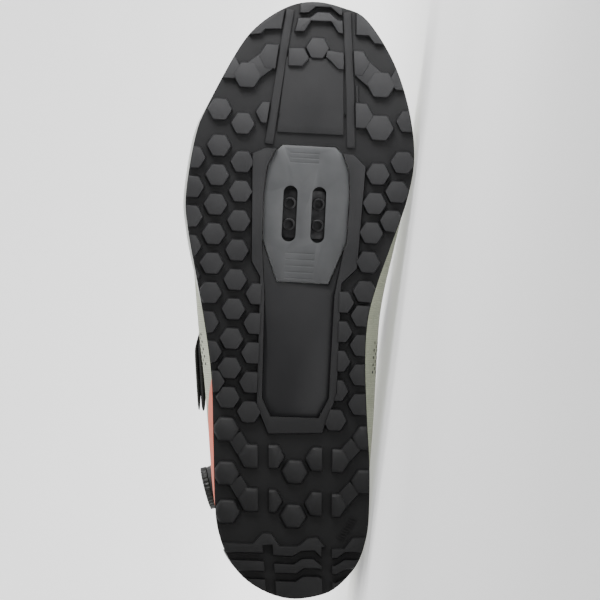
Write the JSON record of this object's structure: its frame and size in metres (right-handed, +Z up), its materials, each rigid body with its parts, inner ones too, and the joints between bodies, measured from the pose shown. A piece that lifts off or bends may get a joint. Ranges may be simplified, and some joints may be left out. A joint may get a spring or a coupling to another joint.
{
  "type": "cycling shoe",
  "caption": "Right trail cycling shoe lying on its inner side, with a lugged rubber sole, a slotted cleat plate, a hollow textile upper, an instep strap and a lace dial.",
  "frame": {"origin": "centre of the bounding box's bottom face, on the floor that the shoe lies on", "axes": "+X from the heel to the toe, +Y from the tread to the collar, +Z up, which is the shoe's outer side"},
  "size_m": [0.2928, 0.1296, 0.1107],
  "materials": {
    "rubber": "matt, faintly satin on the lugs",
    "foam": "matt light grey foam",
    "plate": "satin mid grey nylon",
    "gloss": "glossy black",
    "steel": "dark plated steel",
    "sage": "sage green knit and synthetic leather",
    "orange": "matt orange",
    "black": "matt black",
    "lining": "dark lining cloth"
  },
  "bodies": {
    "shoe": {"outsole": "rubber", "cleat_plate": "plate", "arch_panel": "gloss", "midsole": "foam", "insole": "lining", "upper": "sage", "toe_cap": "rubber", "heel_counter": "black", "heel_stripe": "orange", "eyestay": "sage", "tongue": "sage", "instep_strap": "black", "strap_tab": "black", "lace_dial": "black", "dial_base": "black", "guide_outer_1": "black", "guide_outer_2": "black", "guide_inner_1": "black", "guide_inner_2": "black", "cable_1": "steel", "cable_2": "steel", "cable_3": "steel"},
    "nut_plate": {"nut_plate": "steel"}
  },
  "joints": [
    {"name": "cleat_slide", "type": "slide", "parent": "shoe", "child": "nut_plate", "axis": [0.9974, 0, 0.0727], "range_m": [-0.005, 0.005]}
  ]
}
